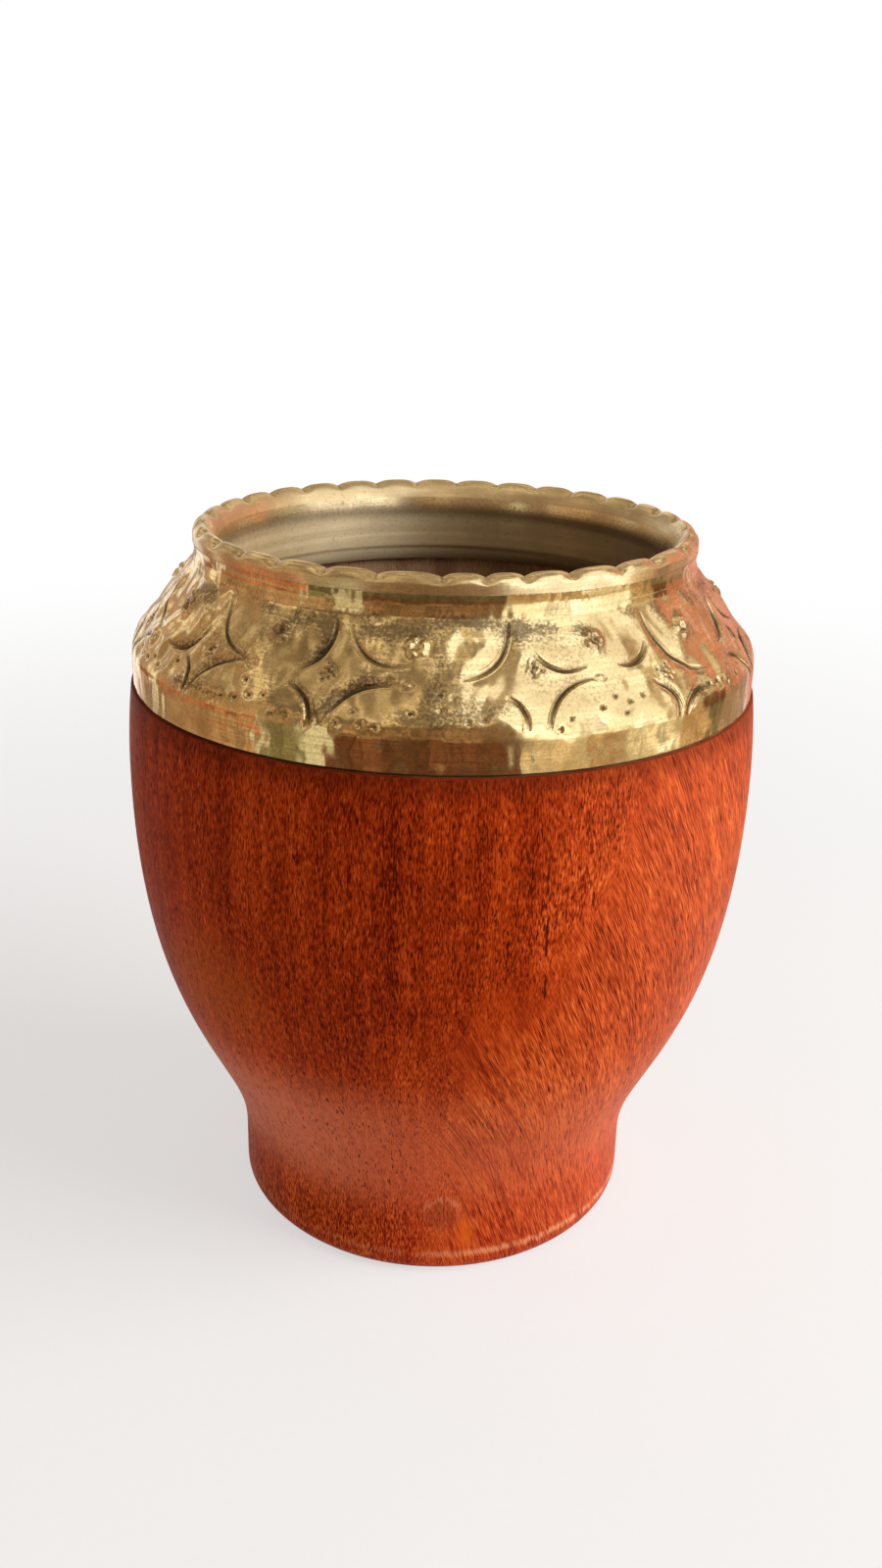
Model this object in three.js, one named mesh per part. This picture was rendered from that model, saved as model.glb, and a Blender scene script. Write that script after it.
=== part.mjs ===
// A mate cup: a turned hardwood vessel under a chased brass collar.
//
// The wood stands on a round foot, swells to a belly near the top and ends in a stepped
// shoulder. A brass collar sits over that shoulder, bedded in resin: a plain band, a sloping
// face that carries the chasing, and a short neck. A brass sleeve lines the mouth, and a
// scalloped bead closes the top edges of the neck and the sleeve.
//
// Millimetres, +Z up. The origin is the centre of the foot's flat underside.

import * as THREE from "three";

// Driving dimensions, in millimetres

const CUP_HEIGHT = 93.1; // table to the crest of the rim bead
const MOUTH_RADIUS = 27.6; // clear radius inside the sleeve

// Wood
const WALL_THICKNESS = 11.2; // between the cavity and the widest part of the belly
const FLOOR_THICKNESS = 14; // between the underside and the lowest point of the cavity
const CAVITY_ROUNDING = 34; // height over which the cavity closes in to its floor
const FOOT_RADIUS = 26.65;
const FOOT_HEIGHT = 7.5; // straight part of the foot, up to where the belly starts
const FOOT_EDGE_RUN = 1.25; // worn lower edge of the foot, measured along the table
const FOOT_EDGE_RISE = 2.3; // the same edge, measured up the foot
const BELLY_EASE_LOW = 15.6; // how long the belly's curve leaves the foot upright
const BELLY_EASE_HIGH = 36.5; // how long it arrives upright at the widest part
const BELLY_DROP = 11.3; // from the ledge under the collar down to the widest part
const BELLY_DRAW_IN = 0.67; // how far the wood draws in again between those two
const MOUTH_SEAT_WIDTH = 2.8; // width of the wood's flat top, around the mouth

// Collar
const SHEET = 0.6; // brass sheet of the collar and the sleeve
const BAND_INSET = 0.33; // the wood stands this much proud of the collar's plain band
const BAND_HEIGHT = 4.8; // collar's lower edge to the corner of the shoulder
const SLOPE_HEIGHT = 9.85; // corner of the shoulder to the corner of the neck
const NECK_HEIGHT = 2.5; // corner of the neck to the seat of the bead
const SHOULDER_ROUNDING = 1.3; // how far each side of the shoulder's corner is rounded
const NECK_ROUNDING = 1.7; // the same at the neck's corner
const BEDDING_THICKNESS = 1; // resin between the collar and the wood

// Mouth sleeve
const SLEEVE_REACH = 2.2; // how far the sleeve goes down inside the wood
const SLEEVE_LIP_HEIGHT = 1.7; // lower stretch that is pressed out against the bore
const SLEEVE_LIP_FLARE = 0.3;
const MOUTH_FLARE_HEIGHT = 2.6; // upper stretch that opens out under the bead
const MOUTH_FLARE = 0.45;

// Rim bead
const BEAD_WIDTH = 3.05; // across the bead, from the sleeve's face to the neck's face
const BEAD_HEIGHT = 2.1;
const SCALLOP_DEPTH = 0.35;
const SCALLOP_COUNT = 32;

// Clearances
const CLEARANCE = 0.3; // wood, resin and brass, where they only bear on each other
const SOLDER_GAP = 0.1; // between the bead and the two sheet edges that it closes

// Facets
const ROUND_STEPS = 48; // around the axis
const WOOD_CURVE_STEPS = 7; // along each curve of the wood's outline
const SHEET_CURVE_STEPS = 4; // along each curve of a sheet's outline
const SCALLOP_STEPS = 4; // around one scallop
const BEAD_CURVE_STEPS = 8; // across the bead's rounded top

// Places worked out from the sizes above

const boreRadius = MOUTH_RADIUS + SLEEVE_LIP_FLARE + SHEET + CLEARANCE;
const bellyRadius = boreRadius + WALL_THICKNESS;
const ledgeRadius = bellyRadius - BELLY_DRAW_IN;
const bandRadius = ledgeRadius - BAND_INSET;
const beadInnerRadius = MOUTH_RADIUS + MOUTH_FLARE;
const neckRadius = beadInnerRadius + BEAD_WIDTH;

const beadSeatZ = CUP_HEIGHT - BEAD_HEIGHT;
const sheetTopZ = beadSeatZ - SOLDER_GAP;
const neckCornerZ = beadSeatZ - NECK_HEIGHT;
const shoulderCornerZ = neckCornerZ - SLOPE_HEIGHT;
const collarEdgeZ = shoulderCornerZ - BAND_HEIGHT;
const ledgeZ = collarEdgeZ - CLEARANCE;
const bellyZ = ledgeZ - BELLY_DROP;

// The slope leans inwards as it rises, by this much for each millimetre of height.
const slopeLean = (bandRadius - neckRadius) / SLOPE_HEIGHT;
const slopeAngle = Math.atan(slopeLean);

// Each layer under the collar is named by how far it lies inside the collar's outer face.
const sheetInset = SHEET;
const beddingInset = sheetInset + CLEARANCE;
const beddingBackInset = beddingInset + BEDDING_THICKNESS;
const woodInset = beddingBackInset + CLEARANCE;
const rebateRadius = bandRadius - beddingInset;

// A point of the collar's outer line, moved square to the line into a deeper layer. Band and
// neck are upright and share one slope, so both corners move by the same amount.
function layerPoint(radius, z, inset) {
  return new THREE.Vector2(radius - inset, z - inset * Math.tan(slopeAngle / 2));
}

// Height at which the slope of a layer has a given radius, and the other way round.
function slopeZ(radius, inset) {
  const corner = layerPoint(bandRadius, shoulderCornerZ, inset);
  return corner.y + (corner.x - radius) / slopeLean;
}

function slopeRadius(z, inset) {
  const corner = layerPoint(bandRadius, shoulderCornerZ, inset);
  return corner.x - (z - corner.y) * slopeLean;
}

const woodTopZ = slopeZ(boreRadius + MOUTH_SEAT_WIDTH, woodInset);
const sleeveBottomZ = woodTopZ - SLEEVE_REACH;

// Draws one layer of the collar into an outline, from its lower end up to its top, with both
// corners rounded. The outline's pen is already at the lower end.
function climbLayer(outline, inset, topZ) {
  const shoulder = layerPoint(bandRadius, shoulderCornerZ, inset);
  const neck = layerPoint(neckRadius, neckCornerZ, inset);
  const up = new THREE.Vector2(0, 1);
  const along = neck.clone().sub(shoulder).normalize();
  for (const [corner, before, after, rounding] of [
    [shoulder, up, along, SHOULDER_ROUNDING],
    [neck, along, up, NECK_ROUNDING],
  ]) {
    const start = corner.clone().addScaledVector(before, -rounding);
    const end = corner.clone().addScaledVector(after, rounding);
    outline.lineTo(start.x, start.y);
    outline.quadraticCurveTo(corner.x, corner.y, end.x, end.y);
  }
  outline.lineTo(neck.x, topZ);
}

// Turns an outline of (radius, height) points about the Z axis.
function turned(points) {
  const geometry = new THREE.LatheGeometry(points, ROUND_STEPS);
  geometry.rotateX(Math.PI / 2);
  return geometry;
}

// The wood: foot, belly, ledge and rebate outside, then the flat top and the cavity.
function woodBody() {
  const outline = new THREE.Path();
  outline.moveTo(0, 0);
  outline.lineTo(FOOT_RADIUS - FOOT_EDGE_RUN, 0);
  outline.quadraticCurveTo(FOOT_RADIUS, FOOT_EDGE_RISE / 2, FOOT_RADIUS, FOOT_EDGE_RISE);
  outline.lineTo(FOOT_RADIUS, FOOT_HEIGHT);
  outline.bezierCurveTo(
    FOOT_RADIUS, FOOT_HEIGHT + BELLY_EASE_LOW,
    bellyRadius, bellyZ - BELLY_EASE_HIGH,
    bellyRadius, bellyZ,
  );
  outline.quadraticCurveTo(bellyRadius, bellyZ + BELLY_DROP / 2, ledgeRadius, ledgeZ);
  outline.lineTo(rebateRadius, ledgeZ);
  outline.lineTo(rebateRadius, slopeZ(rebateRadius, woodInset));
  outline.lineTo(boreRadius + MOUTH_SEAT_WIDTH, woodTopZ);
  outline.lineTo(boreRadius, woodTopZ);
  outline.lineTo(boreRadius, FLOOR_THICKNESS + CAVITY_ROUNDING);
  outline.absellipse(
    0, FLOOR_THICKNESS + CAVITY_ROUNDING,
    boreRadius, CAVITY_ROUNDING,
    0, -Math.PI / 2, true,
  );
  return turned(outline.getPoints(WOOD_CURVE_STEPS));
}

// The resin bed: it fills the space behind the collar's slope and neck, on the wood's top.
function collarBedding() {
  const sleeveFaceRadius = beadInnerRadius + SHEET + CLEARANCE;
  const seatZ = woodTopZ + CLEARANCE;
  const lowestZ = slopeZ(rebateRadius, beddingBackInset);
  const outline = new THREE.Path();
  outline.moveTo(rebateRadius, lowestZ);
  climbLayer(outline, beddingInset, sheetTopZ);
  outline.lineTo(sleeveFaceRadius, sheetTopZ);
  outline.lineTo(sleeveFaceRadius, seatZ);
  outline.lineTo(slopeRadius(seatZ, beddingBackInset), seatZ);
  outline.closePath();
  return turned(outline.getPoints(SHEET_CURVE_STEPS));
}

// The collar: one sheet, up the outside and back down the inside.
function collar() {
  const outside = new THREE.Path();
  outside.moveTo(bandRadius, collarEdgeZ);
  climbLayer(outside, 0, sheetTopZ);
  const inside = new THREE.Path();
  inside.moveTo(bandRadius - sheetInset, collarEdgeZ);
  climbLayer(inside, sheetInset, sheetTopZ);
  const up = outside.getPoints(SHEET_CURVE_STEPS);
  const down = inside.getPoints(SHEET_CURVE_STEPS).reverse();
  return turned([...up, ...down, up[0]]);
}

// The sleeve: a straight tube, pressed out at its lower lip and opened at the mouth.
function mouthSleeve() {
  const face = new THREE.Path();
  face.moveTo(MOUTH_RADIUS + SLEEVE_LIP_FLARE, sleeveBottomZ);
  face.quadraticCurveTo(
    MOUTH_RADIUS, sleeveBottomZ + SLEEVE_LIP_HEIGHT / 2,
    MOUTH_RADIUS, sleeveBottomZ + SLEEVE_LIP_HEIGHT,
  );
  face.lineTo(MOUTH_RADIUS, sheetTopZ - MOUTH_FLARE_HEIGHT);
  face.quadraticCurveTo(
    MOUTH_RADIUS, sheetTopZ - MOUTH_FLARE_HEIGHT / 2,
    beadInnerRadius, sheetTopZ,
  );
  const inside = face.getPoints(SHEET_CURVE_STEPS);
  const outside = inside.map((point) => new THREE.Vector2(point.x + SHEET, point.y));
  return turned([...outside, ...inside.reverse(), outside[0]]);
}

// The bead: a half-round ring whose rounded top is cut in a little at each notch between
// scallops, while its two lower edges stay flush with the neck and the sleeve.
function rimBead() {
  const around = SCALLOP_COUNT * SCALLOP_STEPS;
  const across = BEAD_CURVE_STEPS + 1;
  const middleRadius = (beadInnerRadius + neckRadius) / 2;
  const positions = [];
  const triangles = [];
  for (let i = 0; i < around; i += 1) {
    const turn = (i / around) * 2 * Math.PI;
    const notch = 1 - Math.sqrt(Math.abs(Math.sin((turn * SCALLOP_COUNT) / 2)));
    for (let j = 0; j < across; j += 1) {
      const lean = (j / BEAD_CURVE_STEPS) * Math.PI;
      const cut = SCALLOP_DEPTH * notch * Math.sin(lean);
      const radius = middleRadius + (BEAD_WIDTH / 2 - cut) * Math.cos(lean);
      const z = beadSeatZ + (BEAD_HEIGHT - cut) * Math.sin(lean);
      positions.push(radius * Math.cos(turn), radius * Math.sin(turn), z);
      const here = i * across + j;
      const nextAcross = i * across + ((j + 1) % across);
      const nextAround = ((i + 1) % around) * across + j;
      const nextBoth = ((i + 1) % around) * across + ((j + 1) % across);
      triangles.push(here, nextAround, nextBoth, here, nextBoth, nextAcross);
    }
  }
  const geometry = new THREE.BufferGeometry();
  geometry.setAttribute("position", new THREE.Float32BufferAttribute(positions, 3));
  geometry.setIndex(triangles);
  geometry.computeVertexNormals();
  return geometry;
}

const cup = new THREE.Group();
cup.name = "mate_cup";

function addPiece(name, geometry, look) {
  const piece = new THREE.Mesh(geometry, new THREE.MeshStandardMaterial(look));
  piece.name = name;
  cup.add(piece);
}

addPiece("wood_body", woodBody(), { color: 0x9c3a16, roughness: 0.5, metalness: 0 });
addPiece("collar_bedding", collarBedding(), { color: 0x4a3524, roughness: 0.8, metalness: 0 });
addPiece("brass_collar", collar(), { color: 0xc9a85a, roughness: 0.25, metalness: 1 });
addPiece("mouth_sleeve", mouthSleeve(), { color: 0x9a8350, roughness: 0.45, metalness: 1 });
addPiece("rim_bead", rimBead(), { color: 0xc4a35c, roughness: 0.25, metalness: 1 });

export default cup;
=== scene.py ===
"""A turned wooden mate cup with a chased brass collar, a spun mouth sleeve and a scalloped rim bead."""

import math

import bpy
import numpy as np
from mathutils import Matrix, Vector


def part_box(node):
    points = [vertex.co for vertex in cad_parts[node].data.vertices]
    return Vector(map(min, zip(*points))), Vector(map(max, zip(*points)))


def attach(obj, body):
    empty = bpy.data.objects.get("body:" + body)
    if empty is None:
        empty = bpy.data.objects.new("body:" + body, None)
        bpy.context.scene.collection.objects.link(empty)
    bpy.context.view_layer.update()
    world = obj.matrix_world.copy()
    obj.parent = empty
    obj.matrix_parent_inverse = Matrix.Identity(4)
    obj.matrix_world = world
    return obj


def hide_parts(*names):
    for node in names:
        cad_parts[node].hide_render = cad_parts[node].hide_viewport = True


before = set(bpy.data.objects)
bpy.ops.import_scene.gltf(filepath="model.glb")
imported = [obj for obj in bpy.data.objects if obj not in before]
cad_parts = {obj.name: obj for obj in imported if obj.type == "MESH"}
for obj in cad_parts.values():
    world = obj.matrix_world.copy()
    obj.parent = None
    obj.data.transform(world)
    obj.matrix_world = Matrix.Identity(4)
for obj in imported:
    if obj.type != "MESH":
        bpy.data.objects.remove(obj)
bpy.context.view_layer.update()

# Wood body
# One block of red-brown hardwood, turned on a lathe: a foot, a swelling belly, a ledge and rebate
# for the collar, and a bored cavity. The outside is oiled to a satin; mate has stained the inside.

MM = 0.001
TURN = 2 * math.pi

wood_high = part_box("wood_body")[1]
collar_low, collar_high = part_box("brass_collar")
BELLY_RADIUS = wood_high.x / MM
WOOD_TOP = wood_high.z / MM
LEDGE_HEIGHT = collar_low.z / MM - 0.3
LEDGE_RADIUS = BELLY_RADIUS - 0.67
LEDGE_ROUND = 0.25
BELLY_HEIGHT = LEDGE_HEIGHT - 11.3
FOOT_RADIUS = 26.65
FOOT_FLAT = 25.4
FOOT_EDGE = 2.3
FOOT_HEIGHT = 7.5
# How far the flare's curve holds on straight up from the foot, and straight down from the belly.
FLARE_FROM_FOOT, FLARE_FROM_BELLY = 15.6, 36.5
REBATE_RADIUS = 38.1
REBATE_HEIGHT = 76.3
WOOD_TOP_RADIUS = 31.6
BORE_RADIUS = 28.8
BORE_FOOT = 48.0
CAVITY_FLOOR = 14.0
# The height the wall aims for, and the radius the floor does, where they round into each other.
WALL_HOLD, FLOOR_HOLD = 29.2, 15.9
# The radius of the smallest ring, around the poles under the foot and on the cavity's floor.
POLE_RING = 0.5
# Rings that the lathe's tool left under the foot: half their depth, and radians per mm.
TOOL_MARK_DEPTH, TOOL_MARK_WAVES = 0.05, 3.6
# How level a face lies, from 0 to 1, where it begins to count as flat and where it wholly does.
FLAT_FROM, FLAT_TO = 0.86, 0.97
WOOD_COLUMNS = 256

# The grain is drawn on a cylinder of this radius. In the leaning layer of the wood it shifts by this
# much for each mm of height, and its flecks are finer across the fibres and longer along them.
GRAIN_RADIUS = 35.0
GRAIN_LEAN = 0.42
LEANING_FINER, LEANING_LONGER = 1.15, 0.45
# Long furrows lean more, across the front of the flare. Their waves per mm, around and up.
FURROW_LEAN = 0.55
FURROW_WAVES = (3.0, 3.0, 0.055)
# The wood's tone, from 0, dark, to 1, light: its ground, and how far each noise sways it.
GROUND_TONE = 0.30
FIGURE_SWAY, STREAK_SWAY, MOTTLE_SWAY, THREAD_SWAY, FLECK_SWAY = 0.65, 0.4, 0.3, 0.42, 1.3
# Checks in the wood as x, lower and upper end and strength. Their half width at the edge and the
# core, and how long their ends taper.
CHECKS = [(12.05, 51.9, 57.7, 0.95), (12.15, 46.4, 50.0, 0.95),
          (11.8, 59.5, 65.0, 0.65), (17.1, 57.4, 60.0, 0.8)]
CHECK_EDGE, CHECK_CORE, CHECK_TAPER = 0.2, 0.07, 0.8
# Dark streaks as x and half width.
STREAKS = [(-24.0, 2.0), (-4.8, 1.6), (9.5, 1.8)]
# Ovals on the front, as x and height of the middle, half width and half rise: an ochre patch on the
# left of the belly, and on the foot a knot's scar with an orange patch beside it.
OCHRE_OVAL = (-26.5, 42.0, 7.0, 8.0)
SCAR_HEIGHT = 8.9
SCAR_OVAL = (1.5, SCAR_HEIGHT, 2.2, 3.0)
PATCH_OVAL = (4.5, 6.0, 1.3, 3.0)
# A pale worn line around the foot's edge, partly a painted highlight, and painted shade with grime
# under the collar.
WORN_HEIGHT = 2.95
SHADE_AND_GRIME_FROM = LEDGE_HEIGHT - 4

WOOD_STOPS = [(0.0, (0.09, 0.006, 0.001)), (0.3, (0.33, 0.030, 0.0033)),
              (0.6, (0.57, 0.076, 0.0098)), (0.95, (0.80, 0.17, 0.034))]
FOOT_RED = (0.42, 0.028, 0.017)
# Painted pink sheen, on the flare and along the right flank.
FLARE_SHEEN_PINK = (0.70, 0.19, 0.09)
FLANK_SHEEN_PINK = (0.82, 0.25, 0.13)
OCHRE = (0.44, 0.095, 0.005)
FURROW_BROWN = (0.15, 0.022, 0.009)
PORE_BROWN = (0.05, 0.006, 0.002)
CHECK_BLACK = (0.02, 0.004, 0.003)
SHADE_AND_GRIME = (0.09, 0.012, 0.004)
SCAR_BROWN, SCAR_PALE = (0.20, 0.045, 0.02), (0.70, 0.26, 0.13)
PATCH_ORANGE = (0.80, 0.14, 0.010)
WORN_AND_LIT_PALE = (0.80, 0.33, 0.16)
STAIN_DARK, STAIN_LIGHT = (0.19, 0.105, 0.052), (0.39, 0.24, 0.125)
OIL_TINT, OIL_SHINE, WOOD_ROUGHNESS = (1.0, 0.4, 0.2), 0.03, 0.46
PORE_DEPTH = 0.06 * MM


def curve(points, steps):
    """Bezier curve: neighbouring points are mixed by the share travelled until one point is left."""
    share = np.linspace(0, 1, steps + 1)[:, None]
    layer = [np.array(point, float) + 0 * share for point in points]
    while len(layer) > 1:
        layer = [a + (b - a) * share for a, b in zip(layer, layer[1:])]
    return layer[0]


def outline(start, stretches):
    """Radius and height along a section: from start, each stretch is a curve in so many steps, from
    the end of the one before it through its own points."""
    parts = [np.array([start], float)]
    for points, steps in stretches:
        parts.append(curve([parts[-1][-1], *points], steps)[1:])
    return np.concatenate(parts).T


def soft_step(value, low, high):
    """0 before low, 1 past high and a cubic ease between; low may lie above high."""
    share = np.clip((value - low) / (high - low), 0, 1)
    return share * share * (3 - 2 * share)


def all_round(section, columns):
    """A section's values, the same in every column."""
    return np.repeat(section[:, None], columns, 1)


def azimuths(columns):
    """The azimuth of each column, counted from the front (-Y) towards +X."""
    return np.arange(columns) * TURN / columns


def turned_mesh(name, radius, height, crease, poles=None):
    """Rings of a turned piece, from radius and height in mm, each (rings, columns).

    A point lies at radius times the sine and minus the cosine of its column's azimuth. Rings run up
    the outside. With poles, two heights on the axis close the ends; without, the last ring meets the
    first. Edges of more than crease degrees stay sharp.
    """
    rings, columns = radius.shape
    azimuth = azimuths(columns)
    points = np.stack([radius * np.sin(azimuth), -radius * np.cos(azimuth), height], -1).reshape(-1, 3)
    ring = np.arange(rings - 1 if poles else rings)[:, None] * columns
    above = (ring + columns) % (rings * columns)
    here = np.arange(columns)[None, :]
    right = (here + 1) % columns
    quads = np.stack([ring + here, ring + right, above + right, above + here], -1)
    faces = quads.reshape(-1, 4).tolist()
    if poles:
        low, high = len(points), len(points) + 1
        last = (rings - 1) * columns
        points = np.concatenate([points, [(0, 0, poles[0]), (0, 0, poles[1])]])
        here, right = here[0], right[0]
        faces += np.stack([0 * here + low, right, here], -1).tolist()
        faces += np.stack([last + here, last + right, 0 * here + high], -1).tolist()
    mesh = bpy.data.meshes.new(name)
    mesh.from_pydata(points * MM, [], faces)
    mesh.shade_smooth()
    mesh.set_sharp_from_angle(angle=math.radians(crease))
    return mesh


def paint(mesh, attribute, values):
    """A point attribute for the material to read, with one value to a vertex."""
    mesh.attributes.new(attribute, "FLOAT", "POINT").data.foreach_set("value", np.ravel(values))


def add_object(data):
    """An object at the origin that holds a mesh, a lamp or a camera and has its name."""
    made = bpy.data.objects.new(data.name, data)
    bpy.context.collection.objects.link(made)
    return made


class Tone:
    """A socket of a node tree. Sums, products and the like of tones and numbers add Math nodes."""

    def __init__(self, tree, socket=None):
        self.tree = tree
        self.socket = socket

    def node(self, kind, settings=None, inputs=None, output=0):
        """A new node: its settings first, then the values or links of its sockets. Gives one output."""
        made = self.tree.nodes.new(kind)
        for name, value in (settings or {}).items():
            if name == "stops":
                elements = made.color_ramp.elements
                while len(elements) < len(value):
                    elements.new(0.5)
                for element, (position, colour) in zip(elements, value):
                    element.position = position
                    element.color = (*colour, 1)
            else:
                setattr(made, name, value)
        for name, value in (inputs or {}).items():
            socket = made.inputs[name]
            if isinstance(value, Tone):
                self.tree.links.new(value.socket, socket)
            elif socket.type == "RGBA":
                socket.default_value = (*value, 1)
            else:
                socket.default_value = value
        return Tone(self.tree, made.outputs[output] if made.outputs else None)

    def other(self, output):
        """Another output of the same node."""
        return Tone(self.tree, self.socket.node.outputs[output])

    def maths(self, operation, first, second):
        """A Math node on two tones or numbers."""
        return self.node("ShaderNodeMath", {"operation": operation}, {0: first, 1: second})

    def __add__(self, value):
        return self.maths("ADD", self, value)

    def __sub__(self, value):
        return self.maths("SUBTRACT", self, value)

    def __mul__(self, value):
        return self.maths("MULTIPLY", self, value)

    def __truediv__(self, value):
        return self.maths("DIVIDE", self, value)

    def __pow__(self, value):
        return self.maths("POWER", self, value)

    def __radd__(self, value):
        return self.maths("ADD", value, self)

    def __rsub__(self, value):
        return self.maths("SUBTRACT", value, self)

    def __rmul__(self, value):
        return self.maths("MULTIPLY", value, self)

    def __abs__(self):
        return self.node("ShaderNodeMath", {"operation": "ABSOLUTE"}, {0: self})

    def smooth(self, low, high):
        """0 before low, 1 past high and a soft step between; low may lie above high."""
        edges = {1: min(low, high), 2: max(low, high), 3: float(low > high), 4: float(low < high)}
        return self.node("ShaderNodeMapRange", {"interpolation_type": "SMOOTHSTEP"}, {0: self, **edges})

    def sway(self, amount):
        """A noise's swing to both sides of its middle, times amount."""
        return (self - 0.5) * amount

    def mix(self, first, second):
        """The first colour where this tone is 0, the second where it is 1."""
        return self.node("ShaderNodeMix", {"data_type": "RGBA"}, {0: self, 6: first, 7: second}, 2)

    def vector(self, operation, *values):
        """A Vector Math node on this vector and others."""
        inputs = dict(enumerate((self, *values)))
        return self.node("ShaderNodeVectorMath", {"operation": operation}, inputs)

    def axes(self):
        """The x, y and z of this vector."""
        split = self.node("ShaderNodeSeparateXYZ", inputs={0: self})
        return [split.other(axis) for axis in "XYZ"]

    def noise(self, scale, detail):
        """Noise at the places that this vector gives."""
        inputs = {"Vector": self, "Scale": scale, "Detail": detail}
        return self.node("ShaderNodeTexNoise", inputs=inputs)

    def painted(self, attribute):
        """A point attribute of the piece, 0 on a piece that has none."""
        return self.node("ShaderNodeAttribute", {"attribute_name": attribute}, output="Fac")

    def bump(self, distance):
        """A normal, tilted as if this tone were a height in units of distance."""
        return self.node("ShaderNodeBump", inputs={"Strength": 0.5, "Distance": distance, "Height": self})

    def surface(self, sockets):
        """A Principled shader with those sockets, led to the material's output."""
        shader = self.node("ShaderNodeBsdfPrincipled", inputs=sockets)
        self.node("ShaderNodeOutputMaterial", inputs={"Surface": shader})


def new_finish(store, name):
    """An empty material or world, and a tone to start its nodes from."""
    made = store.new(name)
    made.use_nodes = True
    made.node_tree.nodes.clear()
    return made, Tone(made.node_tree)


def wood_finish():
    """Red-brown hardwood. Noise drawn out along the fibres gives figure, streaks, mottle, flecks and
    pores.

    The grain is interlocked: the fibres run straight up the turned surface in one layer of the wood,
    and lean in part of the next, lighter one, on the right of the front. Two point attributes change
    it: inside marks the cavity, which is stained dark, and end the cavity and the flat faces, where
    the noise is the solid block's own and fibres that are cut across show as dots.
    """
    material, start = new_finish(bpy.data.materials, "oiled_hardwood")
    place = start.node("ShaderNodeTexCoord", output="Object")
    x, y, z = (part / MM for part in place.axes())
    outward = place.vector("MULTIPLY", (1, 1, 0)).vector("NORMALIZE")
    to_right = outward.axes()[0]
    rise = place.node("ShaderNodeCombineXYZ", inputs={2: z})
    block = place.vector("DIVIDE", (MM, MM, MM))
    inside, end = place.painted("inside"), place.painted("end")
    outside = 1 - inside
    front, foot_front = y.smooth(-10, -20), y.smooth(-15, -20)

    def fibres(lean):
        """Places in mm on the grain's cylinder, turned by lean mm for each mm of height, and in the
        solid block where end is 1."""
        around = place.node("ShaderNodeVectorRotate", {"rotation_type": "Z_AXIS"}, {
            "Vector": outward, "Angle": z * (lean / GRAIN_RADIUS)})
        wound = around.vector("MULTIPLY_ADD", (GRAIN_RADIUS, GRAIN_RADIUS, 0), rise)
        return place.node("ShaderNodeMix", {"data_type": "VECTOR"}, {0: end, 4: wound, 5: block}, 1)

    straight, leaning = fibres(0.0), fibres(GRAIN_LEAN)
    wander = place.noise(70.0, 3.0)
    second = (x + wander.sway(14) + z.smooth(46, 26) * 11).smooth(9, 15)
    leans = (x + wander.sway(24) + z.smooth(62, 36) * 17).smooth(17, 25)
    leans = leans * (y + wander.sway(12)).smooth(-5, -16)

    def grain(across, along, detail, shift=0.0):
        """Noise with across waves per mm over the fibres and along waves per mm up them."""
        layers = []
        for fibre, finer, longer in [(straight, 1, 1), (leaning, LEANING_FINER, LEANING_LONGER)]:
            waves = (across * finer, across * finer, along * longer)
            layers.append(fibre.vector("MULTIPLY_ADD", waves, (shift, 0, 0)).noise(1.0, detail))
        return layers[0] + (layers[1] - layers[0]) * leans

    def oval(middle, height, width, rise):
        """The square of the distance from a place on the front, as 1 on an oval around it."""
        return ((x - middle) / width) ** 2 + ((z - height) / rise) ** 2

    figure = grain(0.05, 0.016, 2.0)
    streak = grain(0.3, 0.03, 3.0, 31.0)
    thread = grain(1.3, 0.06, 2.0, 43.0)
    mottle = grain(1.1, 0.35, 3.0, 19.0)
    fleck = grain(6.6, 1.25, 1.0, 7.0)
    pore = grain(5.6, 1.0, 1.0, 53.0).smooth(0.61, 0.69)
    glint = grain(0.28, 0.2, 2.0, 61.0).smooth(0.5, 0.68) * second

    # The ground lightens in the second layer, where painted glints of chatoyant sheen lie, and towards
    # the flare as painted bounce light, less on the lit right; it darkens again on the foot.
    tone = GROUND_TONE + second * (0.08 - z.smooth(54, 72) * 0.07) + glint * 0.15
    tone = tone + z.smooth(50, 14) * (0.30 - to_right.smooth(0.2, 0.7) * 0.15)
    tone = tone - z.smooth(15, 5) * 0.1
    tone = tone + figure.sway(FIGURE_SWAY) + streak.sway(STREAK_SWAY)
    tone = tone + mottle.sway(MOTTLE_SWAY) + thread.sway(THREAD_SWAY)
    tone = tone + fleck.sway(FLECK_SWAY + second * 0.65 + z.smooth(17, 7) * 1.4)
    for middle, half_width in STREAKS:
        beside = abs(x + wander.sway(5) - middle).smooth(half_width, 0.2)
        tone = tone - beside * front * z.smooth(38, 48) * 0.1
    colour = place.node("ShaderNodeValToRGB", {"stops": WOOD_STOPS}, {0: tone})

    # Broad tints: redder towards the foot, a painted pink sheen on the flare, strongest on the left, and
    # on the right flank, and the ochre patch.
    redder = z.smooth(32, 16) * to_right.smooth(-0.5, 0.0) * outside
    colour = (redder * 0.3).mix(colour, FOOT_RED)
    flare_sheen = z.smooth(36, 25) * z.smooth(7, 16) * (0.20 + to_right.smooth(0.1, -0.6) * 0.5)
    colour = (flare_sheen * (0.6 + mottle * 0.8)).mix(colour, FLARE_SHEEN_PINK)
    colour = (to_right.smooth(0.2, 0.95) * 0.12).mix(colour, FLANK_SHEEN_PINK)
    ochre = oval(*OCHRE_OVAL) + mottle.sway(1.2)
    colour = (ochre.smooth(1.6, -0.3) * y.smooth(-8, -22) * 0.45).mix(colour, OCHRE)
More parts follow.
